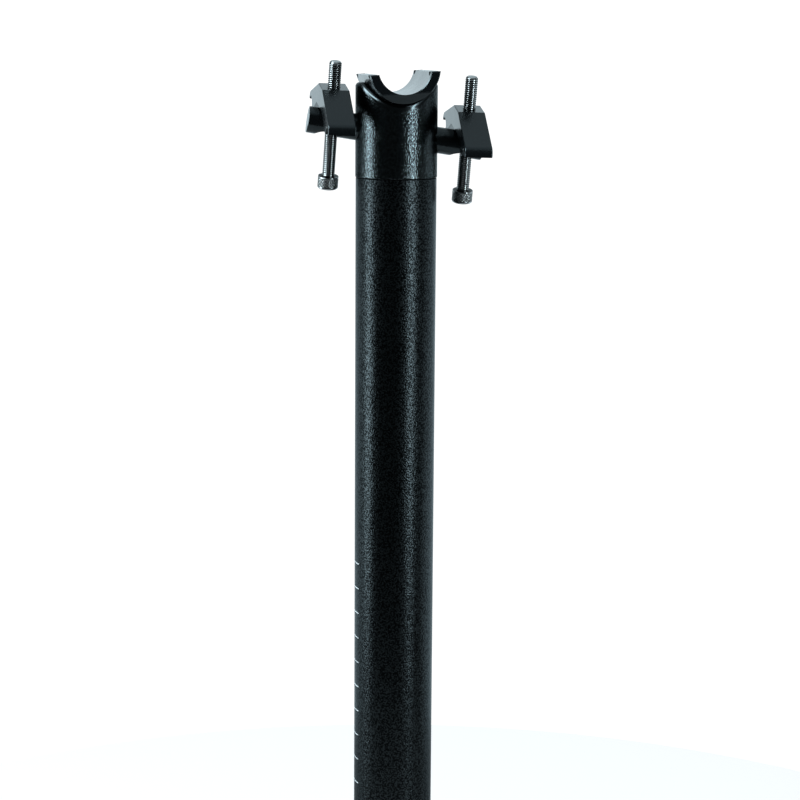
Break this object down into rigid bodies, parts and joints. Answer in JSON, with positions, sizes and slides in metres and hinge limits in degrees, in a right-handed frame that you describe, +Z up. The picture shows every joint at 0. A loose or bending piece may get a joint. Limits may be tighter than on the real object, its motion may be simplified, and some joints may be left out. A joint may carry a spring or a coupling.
{
  "type": "bicycle seatpost",
  "caption": "Bicycle seatpost: plain round tube with a bonded mitred head, a half-pipe rail cradle, a cross bar and loose bolted yokes that clamp the saddle rails.",
  "frame": {"origin": "centre of the tube's open lower end", "axes": "+Z up the tube's axis to the saddle clamp, +X to the front of the bicycle, +Y to its left side"},
  "size_m": [0.0682, 0.0522, 0.4026],
  "materials": {
    "blasted_alloy": "black anodised over a coarse sand-blasted surface",
    "head_alloy": "black anodised over a fine shot-peened surface",
    "clamp_alloy": "smooth satin black anodised",
    "screw_steel": "bright stainless steel"
  },
  "bodies": {
    "post": {"post_tube": "blasted_alloy", "post_head": "head_alloy"},
    "cradle": {"rail_cradle": "clamp_alloy"},
    "bar": {"cross_bar": "clamp_alloy"},
    "rear_screw": {"rear_bolt": "screw_steel"},
    "rear_strap": {"rear_yoke": "clamp_alloy"},
    "front_screw": {"front_bolt": "screw_steel"},
    "front_strap": {"front_yoke": "clamp_alloy"}
  },
  "joints": [
    {"name": "cradle_tilt", "type": "hinge", "parent": "post", "child": "cradle", "pos_m": [0, 0, 0.4], "axis": [0, 1, 0], "range_deg": [-12, 24]},
    {"name": "bar_turn", "type": "hinge", "parent": "post", "child": "bar", "pos_m": [0, 0, 0.3752], "axis": [0.988, 0, -0.1547], "range_deg": [-43.7, 16.3]},
    {"name": "rear_bolt_lift", "type": "slide", "parent": "bar", "child": "rear_screw", "axis": [0.0419, -0.2354, 0.971], "range_m": [0, 0.0151]},
    {"name": "rear_yoke_travel", "type": "slide", "parent": "rear_screw", "child": "rear_strap", "axis": [0.0419, -0.2354, 0.971], "range_m": [0, 0.009]},
    {"name": "front_bolt_lift", "type": "slide", "parent": "bar", "child": "front_screw", "axis": [0.0323, -0.2352, 0.9714], "range_m": [0, 0.0123]},
    {"name": "front_yoke_travel", "type": "slide", "parent": "front_screw", "child": "front_strap", "axis": [0.0323, -0.2352, 0.9714], "range_m": [0, 0.011]}
  ]
}
